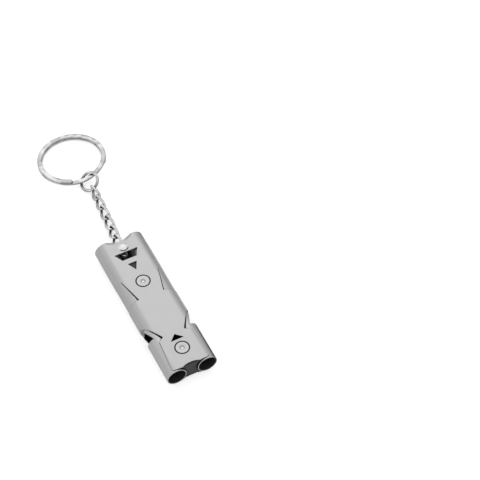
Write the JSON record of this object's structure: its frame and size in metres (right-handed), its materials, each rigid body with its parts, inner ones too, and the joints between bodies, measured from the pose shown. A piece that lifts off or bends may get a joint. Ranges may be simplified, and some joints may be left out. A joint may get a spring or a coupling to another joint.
{
  "type": "survival whistle",
  "caption": "Flat double-tube emergency whistle of folded stainless sheet, with side sound windows, countersunk screws, a twisted-link chain and a split key ring.",
  "frame": {"origin": "centre of the whistle's back plate, halfway between the mouth tubes' rims and the ring end", "axes": "+X across the body, to the right when the ring end points away; +Y along the body from the mouth to the ring end; +Z out of the front plate, up from the floor the whistle lies on"},
  "size_m": [0.025, 0.1156, 0.008],
  "materials": {
    "sheet_steel": "satin, fine lines along the body",
    "screw_steel": "turned, satin",
    "pin_steel": "smooth",
    "chain_steel": "tumbled, bright",
    "ring_steel": "tumbled, bright",
    "core": "moulded, matt"
  },
  "bodies": {
    "whistle": {"sleeve": "sheet_steel", "left_chamber_tube": "sheet_steel", "right_chamber_tube": "sheet_steel", "left_mouth_tube": "sheet_steel", "right_mouth_tube": "sheet_steel", "rear_core": "core", "mouth_core": "core", "front_rear_screw": "screw_steel", "front_mouth_screw": "screw_steel", "back_rear_screw": "screw_steel", "back_mouth_screw": "screw_steel", "chain_pin": "pin_steel"},
    "link_1": {"chain_link_1": "chain_steel"},
    "link_2": {"chain_link_2": "chain_steel"},
    "link_3": {"chain_link_3": "chain_steel"},
    "link_4": {"chain_link_4": "chain_steel"},
    "link_5": {"chain_link_5": "chain_steel"},
    "link_6": {"chain_link_6": "chain_steel"},
    "link_7": {"chain_link_7": "chain_steel"},
    "jump_ring": {"jump_ring": "chain_steel"},
    "split_ring": {"split_ring": "ring_steel"}
  },
  "joints": [
    {"name": "pin_swivel", "type": "hinge", "parent": "whistle", "child": "link_1", "pos_m": [0, 0.0247, 0.00375], "axis": [0, 0, 1], "range_deg": [-1, 3]},
    {"name": "link_1_to_2", "type": "hinge", "parent": "link_1", "child": "link_2", "pos_m": [0.00017, 0.02881, 0.00313], "axis": [0, 0, 1], "range_deg": [-10, 15]},
    {"name": "link_2_to_3", "type": "hinge", "parent": "link_2", "child": "link_3", "pos_m": [0.00068, 0.03365, 0.00239], "axis": [0, 0, 1], "range_deg": [-18, 16]},
    {"name": "link_3_to_4", "type": "hinge", "parent": "link_3", "child": "link_4", "pos_m": [0.00127, 0.0385, 0.00185], "axis": [0, 0, 1], "range_deg": [-22, 8]},
    {"name": "link_4_to_5", "type": "hinge", "parent": "link_4", "child": "link_5", "pos_m": [0.0017, 0.0434, 0.00172], "axis": [0, 0, 1], "range_deg": [-14, 14]},
    {"name": "link_5_to_6", "type": "hinge", "parent": "link_5", "child": "link_6", "pos_m": [0.00204, 0.04831, 0.00179], "axis": [0, 0, 1], "range_deg": [-12, 12]},
    {"name": "link_6_to_7", "type": "hinge", "parent": "link_6", "child": "link_7", "pos_m": [0.00239, 0.05323, 0.00185], "axis": [0, 0, 1], "range_deg": [-8, 10]},
    {"name": "link_7_to_jump_ring", "type": "hinge", "parent": "link_7", "child": "jump_ring", "pos_m": [0.00269, 0.05809, 0.00189], "axis": [0, 0, 1], "range_deg": [-14, 20]},
    {"name": "split_ring_lift", "type": "hinge", "parent": "jump_ring", "child": "split_ring", "pos_m": [0.00202, 0.06209, 0.00116], "axis": [0.9759, 0.2181, 0], "range_deg": [0, 90]}
  ]
}
